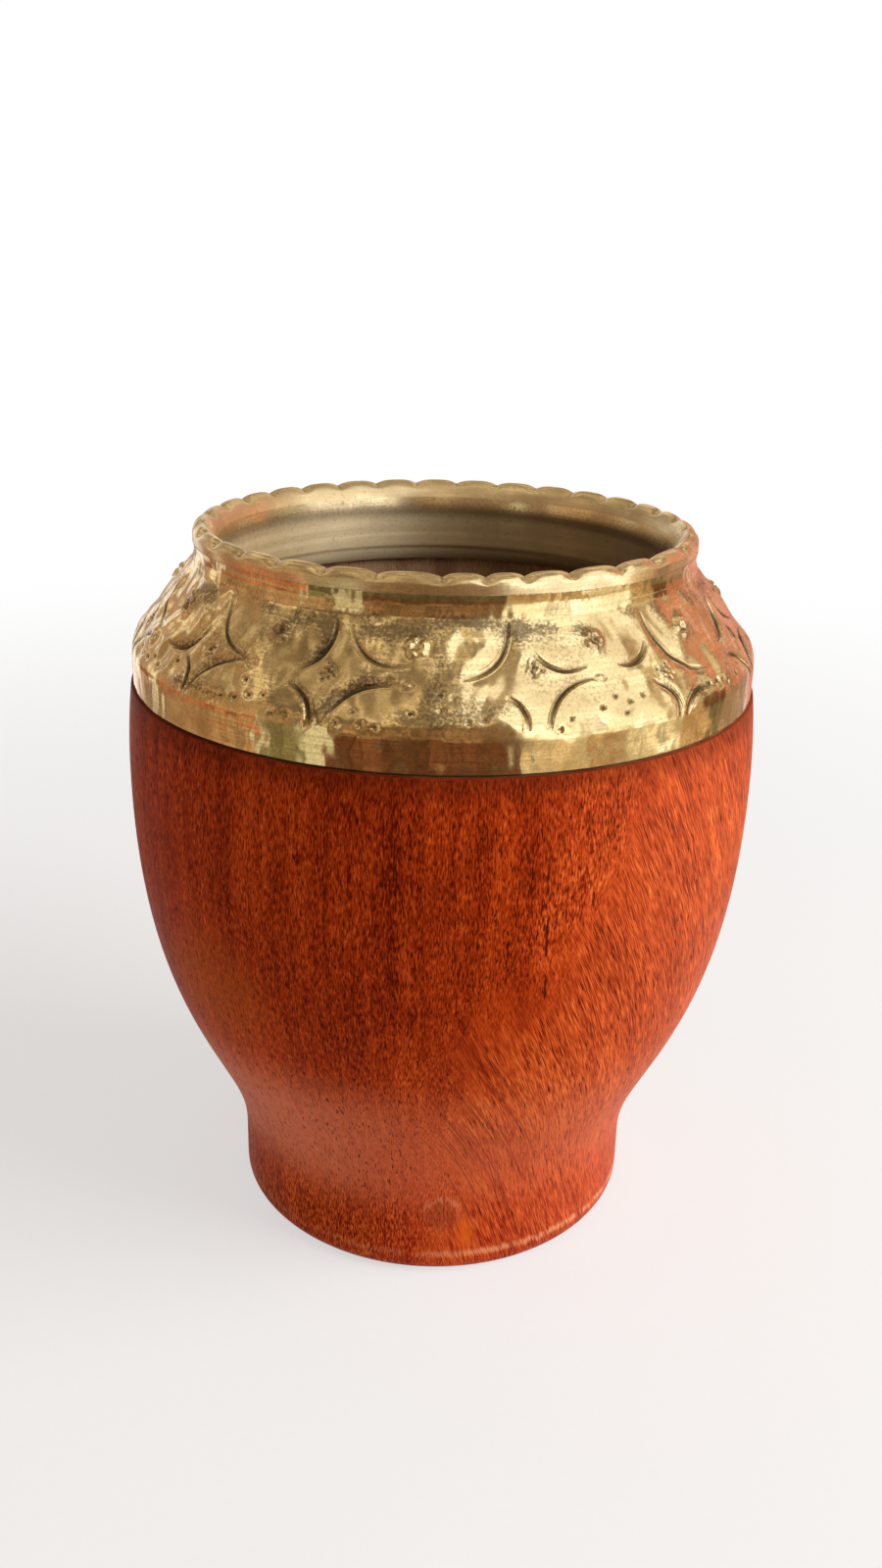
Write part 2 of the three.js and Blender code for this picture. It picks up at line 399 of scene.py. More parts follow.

    # Dark marks: furrows, pores, checks, and painted shade with grime under the collar.
    furrow = fibres(FURROW_LEAN).vector("MULTIPLY", FURROW_WAVES).noise(1.0, 2.0).smooth(0.53, 0.66)
    furrow = furrow * (x + wander.sway(16)).smooth(-4, 2) * x.smooth(22, 14)
    furrow = furrow * front * z.smooth(44, 34) * z.smooth(4, 10) * outside
    colour = (furrow * 0.5).mix(colour, FURROW_BROWN)
    colour = (pore * (0.5 + mottle * 0.7)).mix(colour, PORE_BROWN)
    check = 0
    for middle, low, high, strength in CHECKS:
        beside = abs(x + streak.sway(0.7) + mottle.sway(0.3) - middle).smooth(CHECK_EDGE, CHECK_CORE)
        beside = beside * z.smooth(low, low + CHECK_TAPER) * z.smooth(high, high - CHECK_TAPER)
        check = check + beside * strength
    check = check * front * mottle.smooth(0.2, 0.42)
    colour = (check * 0.9).mix(colour, CHECK_BLACK)
    colour = (z.smooth(SHADE_AND_GRIME_FROM, LEDGE_HEIGHT) * 0.55).mix(colour, SHADE_AND_GRIME)

    # The foot's marks: the scar with its pale upper edge, the patch, and the worn line, lighter on the
    # lit right as a painted highlight.
    scar = oval(*SCAR_OVAL) ** 0.5 + mottle.sway(0.9)
    colour = (scar.smooth(1.0, 0.7) * foot_front * 0.35).mix(colour, SCAR_BROWN)
    scar_edge = abs(scar - 1).smooth(0.25, 0.02) * z.smooth(SCAR_HEIGHT - 1, SCAR_HEIGHT + 2)
    scar_edge = scar_edge * foot_front * fleck.smooth(0.3, 0.6)
    colour = (scar_edge * 0.5).mix(colour, SCAR_PALE)
    patch = oval(*PATCH_OVAL) ** 0.5 + mottle.sway(1.2)
    colour = (patch.smooth(1.3, 0.2) * foot_front * 0.55).mix(colour, PATCH_ORANGE)
    worn_and_lit = abs(z - WORN_HEIGHT + mottle.sway(1.2)).smooth(0.75, 0.1)
    worn_and_lit = worn_and_lit * streak.smooth(0.30, 0.5) * fleck.smooth(0.25, 0.55)
    colour = (worn_and_lit * (0.2 + to_right.smooth(-0.2, 0.3) * 0.5)).mix(colour, WORN_AND_LIT_PALE)

    stain = (streak * 0.6 + fleck * 0.4).smooth(0.35, 0.65).mix(STAIN_DARK, STAIN_LIGHT)
    colour = inside.mix(colour, stain)
    depth = fleck * 0.8 - pore * 0.8 - check - furrow * 0.7
    roughness = WOOD_ROUGHNESS + pore * 0.2 + fleck.sway(0.3) + inside * 0.2
    place.surface({"Base Color": colour, "Roughness": roughness, "Normal": depth.bump(PORE_DEPTH),
                   "Specular IOR Level": OIL_SHINE, "Specular Tint": OIL_TINT})
    return material


wood_outside = [
    ([(FOOT_FLAT, 0)], 40),
    ([(FOOT_RADIUS, FOOT_EDGE / 2), (FOOT_RADIUS, FOOT_EDGE)], 8),
    ([(FOOT_RADIUS, FOOT_HEIGHT)], 8),
    ([(FOOT_RADIUS, FOOT_HEIGHT + FLARE_FROM_FOOT), (BELLY_RADIUS, BELLY_HEIGHT - FLARE_FROM_BELLY),
      (BELLY_RADIUS, BELLY_HEIGHT)], 72),
    ([(BELLY_RADIUS, (BELLY_HEIGHT + LEDGE_HEIGHT) / 2), (LEDGE_RADIUS, LEDGE_HEIGHT - LEDGE_ROUND)], 16),
    ([(LEDGE_RADIUS, LEDGE_HEIGHT), (LEDGE_RADIUS - LEDGE_ROUND, LEDGE_HEIGHT)], 4),
]
wood_inside = [
    ([(REBATE_RADIUS, LEDGE_HEIGHT)], 2),
    ([(REBATE_RADIUS, REBATE_HEIGHT)], 2),
    ([(WOOD_TOP_RADIUS, WOOD_TOP)], 4),
    ([(BORE_RADIUS, WOOD_TOP)], 2),
    ([(BORE_RADIUS, BORE_FOOT)], 30),
    ([(BORE_RADIUS, WALL_HOLD), (FLOOR_HOLD, CAVITY_FLOOR), (POLE_RING, CAVITY_FLOOR)], 48),
]
wood_radius, wood_height = outline((POLE_RING, 0), wood_outside + wood_inside)
outside_rings = sum(steps for _, steps in wood_outside) + 1
is_inside = (np.arange(len(wood_radius)) >= outside_rings).astype(float)
section_run, section_climb = np.gradient(wood_radius), np.gradient(wood_height)
levelness = np.abs(section_run) / np.hypot(section_run, section_climb)
is_block = np.maximum(soft_step(levelness, FLAT_FROM, FLAT_TO), is_inside)
tool_marks = TOOL_MARK_DEPTH * (1 + np.cos(wood_radius * TOOL_MARK_WAVES))
tool_marks = tool_marks * (wood_height < 0.01) * (wood_radius < FOOT_FLAT - 1)

wood_mesh = turned_mesh(
    "turned_wood", all_round(wood_radius, WOOD_COLUMNS), all_round(wood_height + tool_marks, WOOD_COLUMNS),
    crease=50, poles=(2 * TOOL_MARK_DEPTH, CAVITY_FLOOR))
for attribute, rings, pole_values in [("inside", is_inside, (0, 1)), ("end", is_block, (1, 1))]:
    paint(wood_mesh, attribute, np.append(all_round(rings, WOOD_COLUMNS), pole_values))
wood_mesh.materials.append(wood_finish())
turned_wood = add_object(wood_mesh)
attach(turned_wood, "root")
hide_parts("wood_body")

# Collar bedding
# A thin bed of dark resin poured between the collar and the wood's sloping shoulder. It holds the
# thin sheet and backs its ornament, and shows only as a dark line at the collar's lower edge.

RESIN_DARK, RESIN_LIGHT = (0.035, 0.018, 0.010), (0.10, 0.052, 0.026)
RESIN_ROUGHNESS = 0.55
PIT_DEPTH = 0.05 * MM


def resin_finish():
    """Dark brown resin, blotched by noise and slightly pitted."""
    material, start = new_finish(bpy.data.materials, "bedding_resin")
    place = start.node("ShaderNodeTexCoord", output="Object")
    blotch = place.noise(260.0, 4.0)
    pits = place.noise(1900.0, 2.0)
    colour = blotch.smooth(0.3, 0.7).mix(RESIN_DARK, RESIN_LIGHT)
    roughness = RESIN_ROUGHNESS + blotch * 0.25
    place.surface({"Base Color": colour, "Roughness": roughness, "Normal": pits.bump(PIT_DEPTH)})
    return material


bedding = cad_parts["collar_bedding"]
bedding.data.materials.clear()
bedding.data.materials.append(resin_finish())

# Brass collar
# One thin brass sheet: a plain band, a sloping face and a short neck. The face is chased by hand, with
# curved chisel strokes that leave four-pointed stars, rosette bosses above and punched dots below.

EDGE_HEIGHT = collar_low.z / MM
NECK_TOP = collar_high.z / MM
BAND_RADIUS = collar_high.x / MM
NECK_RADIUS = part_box("rim_bead")[1].x / MM
SHEET = 0.6
SHOULDER_HEIGHT = EDGE_HEIGHT + 4.8
NECK_FOOT = SHOULDER_HEIGHT + 9.85
SHOULDER_ROUND, NECK_ROUND, NECK_WAIST = 1.3, 0.5, 0.35
SLOPE_LEAN = (BAND_RADIUS - NECK_RADIUS) / (NECK_FOOT - SHOULDER_HEIGHT)
SLOPE_TURN = math.atan(SLOPE_LEAN) / 2
SLOPE_RADIUS = (BAND_RADIUS + NECK_RADIUS) / 2
# Steps up the face and the back of the sheet: band, shoulder, slope, neck foot and neck.
FACE_STEPS, BACK_STEPS = (11, 9, 52, 6, 8), (1, 2, 3, 2, 1)
COLLAR_COLUMNS = 1000
RELIEF_LOW, RELIEF_HIGH = -0.5, 0.6

# Stars as azimuth and height of the middle, and how far their left and right points reach in degrees.
FRONT_STARS = [(-46.3, 82.7, 7.5, 9.0), (-19.7, 83.1, 6.6, 13.7),
               (15.7, 84.05, 12.6, 10.9), (42.3, 82.1, 9.5, 9.0)]
# The four strokes of each, from the upper left along each row: both ends, from the star's middle, in
# degrees around and mm up.
FRONT_STROKES = {
    0: [(-2.8, 2.1, -13.0, -0.9), (-1.3, 5.3, 10.5, 0.3),
        (-6.1, -1.0, -1.8, -4.9), (-0.7, -4.6, 10.6, 0.0)],
    1: [(-1.0, 4.65, -6.5, -0.18), (2.2, 4.35, 14.4, 0.9),
        (-6.8, -1.57, -1.5, -5.4), (0.6, -4.9, 13.0, -0.68)],
    2: [(-3.4, 4.1, -12.6, -0.95), (0.5, 1.35, 10.5, -0.17),
        (-5.2, -2.55, -2.4, -5.5), (1.1, -5.7, 11.3, -1.4)],
    3: [(-1.5, 3.0, -10.1, 1.5), (0.6, 5.7, 11.8, -1.0),
        (-3.8, -0.5, -0.2, -4.4), (1.4, -4.5, 11.0, -2.7)],
}
# How each stroke is cut: depth, reach into the lobe and into the star, and dirt with painted shade.
STROKE_CUTS = [(0.38, 1.8, 0.7, 0.8), (0.2, 0.6, 0.6, 0.25), (0.34, 0.6, 0.7, 0.7), (0.38, 0.5, 1.6, 0.7)]
FRONT_CUTS = {
    1: [(0.36, 2.2, 0.7, 1.1), (0.16, 0.6, 0.6, 0.2), (0.38, 0.6, 0.8, 1.2), (0.34, 0.5, 2.2, 0.9)],
    2: [(0.5, 2.4, 2.6, 0.12), (0.32, 1.8, 0.9, 0.05), (0.3, 0.5, 0.7, 0.5), (0.36, 0.6, 1.8, 0.1)],
    3: [(0.36, 1.0, 0.9, 0.4), (0.46, 1.6, 1.8, 0.5), (0.4, 1.0, 1.2, 0.5), (0.46, 1.2, 1.6, 0.5)],
}
# A stroke's bow and window for each mm of its chord, the margin beside it, how it tapers, and the
# share of dirt and painted shade on its narrow flank. The smear of painted shade and patina on its
# wide flank and its fine line fade between two distances.
STROKE_BULGE, STROKE_WINDOW, STROKE_MARGIN, STROKE_STEPS = 0.4, 0.6, 4, 40
STROKE_TAPER, NARROW_DIRT_AND_SHADE = 0.6, 0.3
SMEAR_FROM, SMEAR_TO = 0.9, 0.3
LINE_REACH, LINE_FROM, LINE_TO = 1.0, 0.7, 0.45
# The last stroke of these stars, and of every third one, ends in a small loop.
LOOPED_STARS, LOOP_SIZE = (0, 1, 2), 0.55
# The pits in the middle of a star, spread like a sunflower's seeds.
PITS, PIT_SPACING, GOLDEN_ANGLE = 12, 0.31, math.pi * (3 - math.sqrt(5))
# The stars of the back leave so many even gaps between the last star of the front and the first. Lobes
# and bosses stand this many degrees from a star.
BACK_GAPS, BACK_STAR_HEIGHT, BACK_BOSS_HEIGHT, HALF_GAP = 9, 83, 85.6, 15
# Bosses as azimuth and height.
FRONT_BOSSES = [(-61.2, 86.2), (-31.5, 85.9), (-4.8, 85.8), (28.7, 85.9), (52.1, 85.2)]
BOSS_SIZE, BOSS_HEIGHT = 1.15, 0.32
# Dots as azimuth and height, and the swollen lobes between the stars that they stand on.
FRONT_DOTS = [
    (-38.6, 79.2), (-35.5, 79.4), (-32.8, 79.9), (-30.1, 80.1), (-34.8, 81.1), (-27.9, 78.7), (-25.1, 78.9),
    (-16.5, 78.8), (-14.2, 79.9), (-12.6, 78.8), (-10.3, 78.6), (-4.8, 80.0), (-0.7, 81.7), (0.0, 80.3),
    (2.0, 81.4), (4.2, 79.4), (6.7, 79.6), (18.4, 78.4), (20.9, 79.3), (26.8, 80.0), (29.7, 80.8),
    (30.8, 79.2), (32.5, 80.2), (35.0, 80.5), (56.2, 79.6),
]
FRONT_LOBES, LOBE_HEIGHT = [-33, -2, 29], 80.0
# Where the hammered sheet is crumpled most, as azimuth and how much more.
CRUMPLED, CRUMPLE_WIDTH = [(54, 1.3), (295, 2.3)], 13
# Height of its waves and dents on band and neck, and how much more on the slope.
WAVE_HEIGHT, SLOPE_WAVES = 0.006, 0.05
DENT_HEIGHT, SLOPE_DENTS = 0.011, 0.004
# Dark patches on the front, as azimuth, height, reach around and up in mm, and strength.
FRONT_PATINA = [
    (-7.2, 87.2, 4.5, 1.0, 1.3), (-0.5, 83.6, 0.9, 2.6, 0.7), (-5.0, 79.6, 3.0, 1.0, 0.6),
    (6.5, 80.2, 2.6, 1.7, 0.6), (14.4, 87.5, 0.9, 1.3, 1.1), (-31.5, 85.8, 1.7, 1.4, 0.6),
    (-21.9, 87.2, 1.1, 0.9, 1.3), (-13.9, 88.4, 1.6, 0.6, 1.0), (-9.6, 86.0, 0.8, 1.2, 0.7),
    (-2.1, 81.6, 0.9, 1.6, 0.7), (2.5, 88.2, 4.0, 0.7, 1.3), (29.8, 85.0, 0.9, 0.7, 0.7),
]
# The stretch of the shoulder on the lit right that is cleared of patina as a painted highlight, in
# degrees: where it sets in and ends.
LIT_SHOULDER_IN, LIT_SHOULDER_OUT = (2, 9), (50, 42)

COLLAR_BRIGHT, COLLAR_DULL = (0.80, 0.62, 0.27), (0.53, 0.385, 0.15)
COLLAR_GLOSS, COLLAR_LINES = 0.085, 0.007
SATIN_PALE = (0.90, 0.74, 0.46)
GRIT_BROWN = (0.27, 0.18, 0.07)
SHADE_BROWN = (0.09, 0.057, 0.024)
SPECK_BROWN = (0.14, 0.085, 0.03)
PATINA_AND_SHADE_BROWN = (0.115, 0.078, 0.037)
DIRT_AND_SHADE_BROWN = (0.062, 0.043, 0.02)


def brass_finish(name, bright, dull, gloss, brush, spread=0.0):
    """Hand-worked brass: cloudy tarnish, turning lines brush mm deep and pin-prick specks, all by noise.

    Point attributes change it, and a piece without one counts as 0. hollow is how deep
    in a groove a place lies: dirt gathers there, and it is darkened further as painted shade. line
    and cut draw a chisel's fine line, painted dark as shade in the cut: the distance to it in mm and
    its strength. patina is how thickly dark specks of patina stand, with painted shade
    beside the chisel strokes; shade is an even painted shade, and satin is how far the polish gives
    way to a pale, brushed skin that scatters light. The turning lines draw reflections out up and
    down the piece by spread.
    """
    material, start = new_finish(bpy.data.materials, name)
    place = start.node("ShaderNodeTexCoord", output="Object")
    x, y, z = (part / MM for part in place.axes())

    def cloud(side, rise, detail, shift=0.0):
        """Noise with side waves per mm around the piece and rise waves per mm up it."""
        at = place.node("ShaderNodeCombineXYZ", inputs={0: x * side + shift, 1: y * side, 2: z * rise})
        return at.noise(1.0, detail)

    satin, cut = place.painted("satin"), place.painted("cut")
    tarnish = cloud(0.2, 0.3, 5.0).smooth(0.38, 0.62)
    lines = cloud(0.06, 4.0, 2.0, 13.0)
    bands = cloud(0.012, 1.1, 2.0, 29.0)
    speck = cloud(1.7, 1.7, 2.0, 41.0).smooth(0.60, 0.74)
    grit = cloud(3.2, 3.2, 2.0, 5.0).smooth(0.34, 0.66)
    colour = tarnish.mix(bright, dull)
    colour = (lines.smooth(0.40, 0.64) * (0.55 + satin * 0.15)).mix(colour, dull)
    colour = (grit * (1 - satin) * 0.3).mix(colour, GRIT_BROWN)
    colour = (satin * 0.7).mix(colour, SATIN_PALE)
    colour = (satin * bands.smooth(0.42, 0.62) * 0.5).mix(colour, dull)
    colour = (place.painted("shade") * 0.9).mix(colour, SHADE_BROWN)
    colour = (speck * 0.25).mix(colour, SPECK_BROWN)
    # Specks of patina, with painted shade beside the chisel strokes.
    patina = place.painted("patina") * 0.72 + grit.sway(0.45) + lines.sway(0.3)
    patina = patina.smooth(0.15, 0.95)
    colour = (patina * 0.8).mix(colour, PATINA_AND_SHADE_BROWN)
    line = abs(place.painted("line"))
    # Dirt and painted shade in grooves and dents, and painted shade in the chisel's fine line.
    dirt_and_shade = (place.painted("hollow") * (0.45 + lines * 0.8 + grit * 0.3)).smooth(0.2, 0.85)
    dirt_and_shade = dirt_and_shade.maths("MAXIMUM", dirt_and_shade, line.smooth(0.26, 0.1) * cut)
    colour = (dirt_and_shade * 0.93).mix(colour, DIRT_AND_SHADE_BROWN)
    roughness = gloss + tarnish * 0.07 + lines.sway(0.1) + speck * 0.1
    roughness = roughness + (dirt_and_shade + patina * 0.6) * 0.3 + satin * 0.44
    burr = line.smooth(0.24, 0.36) * line.smooth(0.56, 0.42)
    ripple = lines * (brush + satin * 0.05) + cloud(0.7, 0.7, 3.0, 77.0) * 0.02
    ripple = ripple + (burr * 0.1 - line.smooth(0.4, 0.0) * 0.25) * cut
    place.surface({"Base Color": colour, "Metallic": 1 - satin * 0.45, "Roughness": roughness,
                   "Normal": ripple.bump(MM), "Anisotropic": spread, "Anisotropic Rotation": 0.25})
    return material


def collar_section(inset, steps):
    """Radius and height up one layer of the sheet, inset below its face: band, rounded shoulder, slope,
    rounded neck foot and neck. Both corners drop by inset times the tangent of half the slope's angle,
    which keeps the layers the same way apart all along."""
    drop = inset * math.tan(SLOPE_TURN)
    shoulder = np.array((BAND_RADIUS - inset, SHOULDER_HEIGHT - drop))
    foot = np.array((NECK_RADIUS - inset, NECK_FOOT - drop))
    slope = (foot - shoulder) / np.linalg.norm(foot - shoulder)
    up = np.array((0, 1))
    stretches = [
        [shoulder - SHOULDER_ROUND * up],
        [shoulder, shoulder + SHOULDER_ROUND * slope],
        [foot - NECK_ROUND * slope],
        [foot, foot + NECK_ROUND * up],
        [(foot[0] - NECK_WAIST, (foot[1] + NECK_TOP) / 2), (foot[0], NECK_TOP)],
    ]
    return outline((shoulder[0], EDGE_HEIGHT), zip(stretches, steps))


face_radius, face_height = collar_section(0.0, FACE_STEPS)
back_radius, back_height = collar_section(SHEET, BACK_STEPS)[:, ::-1]
face_step = np.hypot(np.diff(face_radius), np.diff(face_height))
face_climb = np.concatenate([[0], np.cumsum(face_step)])
face_out = np.gradient(face_height, face_climb)
face_up = -np.gradient(face_radius, face_climb)
collar_turn = azimuths(COLLAR_COLUMNS)
relief = np.zeros((len(face_climb), COLLAR_COLUMNS))
hollow = np.zeros_like(relief)
chisel_gap = np.full_like(relief, LINE_REACH)
chisel_cut = np.zeros_like(relief)
stroke_shade = np.zeros_like(relief)


def on_face(degrees, height):
    """A place on the unrolled face: mm around from the front, at the slope's mean radius, and mm of
    climb."""
    return np.array([math.radians(degrees) * SLOPE_RADIUS, np.interp(height, face_height, face_climb)])


def face_window(middle, reach):
    """The columns within reach of a place, and their offsets from it, around and up, in mm."""
    girth = TURN * SLOPE_RADIUS
    side = (collar_turn * SLOPE_RADIUS - middle[0] + girth / 2) % girth - girth / 2
    columns = np.flatnonzero(np.abs(side) < reach)
    offsets = np.broadcast_arrays(side[columns][None, :], (face_climb - middle[1])[:, None])
    return columns, np.stack(offsets, -1)


def bell(value, middle, width):
    """A bell curve: 1 at the middle, and e times less at width from it."""
    return np.exp(-((value - middle) / width) ** 2)


def swelling(middle, width, rise):
    """The columns near a place, and a bell curve around it of that width around and rise up the face."""
    columns, at = face_window(middle, 3 * width)
    return columns, np.exp(-(at[..., 0] / width) ** 2 - (at[..., 1] / rise) ** 2)


def chisel_stroke(start, end, star, depth, outer, inner, dirt_and_shade):
    """One curved stroke that bows towards its star along a quadratic curve, and dies out at both ends:
    a crisp line at the bottom of two sunken flanks, which reach outer mm into the lobe and inner mm
    into the star. The flanks fall off with the square of the distance, and the wider one holds that
    much dirt and patina, darkened further as painted shade."""
    middle = (start + end) / 2
    chord = end - start
    side = np.array([-chord[1], chord[0]])
    side = side * np.sign(side @ (star - middle))
    path = curve([start, middle + side * STROKE_BULGE, end], STROKE_STEPS) - middle
    columns, at = face_window(middle, np.linalg.norm(chord) * STROKE_WINDOW + STROKE_MARGIN)
    gap = at[:, :, None, :] - path
    nearest = np.argmin((gap ** 2).sum(-1), -1)
    gap = np.take_along_axis(gap, nearest[:, :, None, None], 2)[:, :, 0]
    heading = np.gradient(path, axis=0)
    heading = (heading / np.linalg.norm(heading, axis=1)[:, None])[nearest]
    starward = np.sign(chord[0] * side[1] - chord[1] * side[0])
    in_star = starward * (heading[..., 0] * gap[..., 1] - heading[..., 1] * gap[..., 0])
    distance = np.sqrt((gap ** 2).sum(-1))
    strength = np.sin(np.pi * nearest / STROKE_STEPS) ** STROKE_TAPER
    flank = np.clip(1 - distance / (np.where(in_star > 0, inner, outer) * strength + 0.01), 0, 1) ** 2
    wide_side = (in_star > 0) == (inner > outer)
    wide = max(inner, outer)
    relief[:, columns] -= strength * depth * flank
    hollow[:, columns] += strength * flank * np.where(wide_side, dirt_and_shade, NARROW_DIRT_AND_SHADE * dirt_and_shade)
    # The smear on the wide flank is painted shade, with patina.
    smear_shade = strength * dirt_and_shade * wide_side * soft_step(distance, SMEAR_FROM * wide, SMEAR_TO * wide)
    stroke_shade[:, columns] = np.maximum(stroke_shade[:, columns], smear_shade)
    near = (distance < LINE_REACH) & (distance < np.abs(chisel_gap[:, columns]))
    chisel_gap[:, columns] = np.where(near, in_star, chisel_gap[:, columns])
    drawn = strength * soft_step(distance, LINE_FROM, LINE_TO)
    chisel_cut[:, columns] = np.maximum(chisel_cut[:, columns], drawn)


def loop(middle, size):
    """The small oval ring that a stroke can end in: a groove around a low button."""
    columns, at = face_window(middle, 4 * size)
    away = np.hypot(at[..., 0], 1.3 * at[..., 1]) / size
    groove = bell(away, 1, 0.3)
    relief[:, columns] += 0.1 * bell(away, 0, 0.7) - 0.14 * groove
    hollow[:, columns] += 0.55 * groove


def punch(middle, size, depth, squash, turn):
    """One punched dent of that diameter, squashed one way: a soft-edged pit, darkest in the middle."""
    columns, at = face_window(middle, 2 * size)
    along = at[..., 0] * math.cos(turn) + at[..., 1] * math.sin(turn)
    over = at[..., 1] * math.cos(turn) - at[..., 0] * math.sin(turn)
    away = np.hypot(along * squash, over / squash)
    dent = soft_step(away, 0.55 * size, 0.05 * size)
    relief[:, columns] -= depth * dent
    hollow[:, columns] += 0.85 * dent


def boss(middle, size, height, lumps):
    """A rosette: a raised ring of that size with a dent in the middle. Two cosines around it, three and
    five to the turn and started by the two lumps, leave it as uneven as the punch does."""
    columns, at = face_window(middle, 4 * size)
    away = np.sqrt((at ** 2).sum(-1)) / size
    around = np.arctan2(at[..., 1], at[..., 0])
    uneven = 1 + 0.4 * np.cos(3 * around + lumps[0]) + 0.4 * np.cos(5 * around + lumps[1])
    ring = bell(away, 0.72, 0.36)
    relief[:, columns] += height * ring * uneven - 0.25 * height * bell(away, 0, 0.4)
    hollow[:, columns] += 0.6 * bell(away, 0, 0.45) + 0.25 * bell(away, 1.3, 0.3)


def dome(middle, width, rise, height):
    """A low swelling of the sheet, falling off as a bell curve around and up the face."""
    columns, swell = swelling(middle, width, rise)
    relief[:, columns] += height * swell


def uneven_sheet(chance, count, around, upward):
    """A sum of cosine waves of random direction over the face, from around waves to the turn up to
    twelve times that and with upward as the spread of their radians per mm of climb. The short ones
    are lower. Its deviation is 1."""
    waves = np.zeros_like(relief)
    for _ in range(count):
        turns = chance.integers(around, 12 * around)
        rise = chance.normal(0, upward)
        phase = chance.uniform(0, TURN)
        height = 1 / (1 + turns / (2.7 * around))
        waves += height * np.cos(turns * collar_turn[None, :] + rise * face_climb[:, None] + phase)
    return waves / waves.std()


# The hammered unevenness of the sheet, strongest on the slope and at both sides of the front.
chance = np.random.default_rng(11)
waves = uneven_sheet(chance, count=44, around=6, upward=0.8)
dents = uneven_sheet(np.random.default_rng(12), count=60, around=14, upward=1.7)
on_slope = soft_step(face_height, SHOULDER_HEIGHT - 0.6, SHOULDER_HEIGHT + 1.5)
on_slope = (on_slope * soft_step(face_height, NECK_FOOT + 0.8, NECK_FOOT - 1.2))[:, None]
crumple = np.ones(COLLAR_COLUMNS)
for turn, more in CRUMPLED:
    crumple += more * bell(collar_turn, math.radians(turn), math.radians(CRUMPLE_WIDTH))
relief += (waves * (WAVE_HEIGHT + SLOPE_WAVES * on_slope) * crumple
           + dents * (DENT_HEIGHT + SLOPE_DENTS * on_slope))

first_turn, last_turn = FRONT_STARS[0][0] + 360, FRONT_STARS[-1][0]
back_turns = np.linspace(last_turn, first_turn, BACK_GAPS + 1)[1:-1]
lobe_turns = np.append(back_turns, first_turn) - HALF_GAP
back_stars = [(turn, BACK_STAR_HEIGHT + chance.normal(0, 0.4), *chance.uniform(9.5, 12.5, 2))
              for turn in back_turns]
back_bosses = [(turn + HALF_GAP, BACK_BOSS_HEIGHT + chance.normal(0, 0.3)) for turn in back_turns[:-1]]
back_bosses.append((back_turns[-1] - 360 + HALF_GAP + 1, BACK_BOSS_HEIGHT - 0.3))
stars = FRONT_STARS + back_stars
bosses = FRONT_BOSSES + back_bosses
for number, (turn, height, left, right) in enumerate(stars):
    # Without strokes of its own, a star has four that follow from the reach of its points.
    usual = [(-0.15 * left, 4.5, -left, 0.2), (0.15 * right, 4.4, right, 0.4),
             (-left, -1.3, -0.14 * left, -5.2), (0.08 * right, -5.0, right, -0.9)]
    middle = on_face(turn, height)
    strokes, cuts = FRONT_STROKES.get(number, usual), FRONT_CUTS.get(number, STROKE_CUTS)
    for (a, rise_a, b, rise_b), cut in zip(strokes, cuts):
        start, end = on_face(turn + a, height + rise_a), on_face(turn + b, height + rise_b)
        chisel_stroke(start, end, middle, *(chance.uniform(0.88, 1.1, 4) * cut))
    if number in LOOPED_STARS or number % 3 == 0:
        loop(end + (LOOP_SIZE, 0.0), LOOP_SIZE)
    for pit in range(PITS):
        away, angle = PIT_SPACING * math.sqrt(pit), GOLDEN_ANGLE * pit + turn
        spot = middle + away * np.array((math.cos(angle), math.sin(angle))) + chance.normal(0, 0.09, 2)
        punch(spot, chance.uniform(0.45, 0.65), 0.2, 1.0, 0.0)

for turn, height in bosses:
    dome(on_face(turn, height - 0.6), 4.0, 3.4, 0.2)
    boss(on_face(turn, height), BOSS_SIZE, BOSS_HEIGHT, chance.uniform(0, TURN, 2))

back_dots = [(turn + 2.6 * step, 79 + chance.uniform(0, 1.8))
             for turn in lobe_turns for step in range(-3, 4)]
for turn, height in FRONT_DOTS + back_dots:
    middle = on_face(turn + chance.normal(0, 0.15), height)
    size, depth = chance.uniform(0.65, 1.1), chance.uniform(0.16, 0.3)
    punch(middle, size, depth, chance.uniform(0.8, 1.25), chance.uniform(0, 3))
for turn in np.concatenate([lobe_turns, FRONT_LOBES]):
    dome(on_face(turn, LOBE_HEIGHT), 4.4, 2.6, 0.16)

# Patina gathers under the neck, along the shoulder and in patches on the slope. Beside the strokes
# it is joined by painted shade, and the lit stretch of the shoulder is cleared of it as a painted
# highlight.
patches = soft_step(waves, -0.9, 1.3)
neck_patina = bell(face_height, NECK_FOOT - 0.9, 1.1)[:, None]
shoulder_patina = bell(face_height, SHOULDER_HEIGHT + 0.3, 1.0)[:, None]
lit_shoulder = soft_step(collar_turn, *np.radians(LIT_SHOULDER_IN)) * soft_step(collar_turn, *np.radians(LIT_SHOULDER_OUT))
patina = 0.7 * neck_patina * patches + 0.6 * shoulder_patina * patches * (1 - lit_shoulder)
patina = patina + 0.35 * on_slope * patches + stroke_shade - 0.5 * shoulder_patina * lit_shoulder
star_patina = [(turn, height, 0.9, 0.9, 0.9) for turn, height, _, _ in stars]
boss_patina = [(turn, height, 1.5, 1.3, 0.45) for turn, height in bosses]
for turn, height, width, rise, strength in FRONT_PATINA + star_patina + boss_patina:
    columns, swell = swelling(on_face(turn, height), width, rise)
    patina[:, columns] += strength * swell

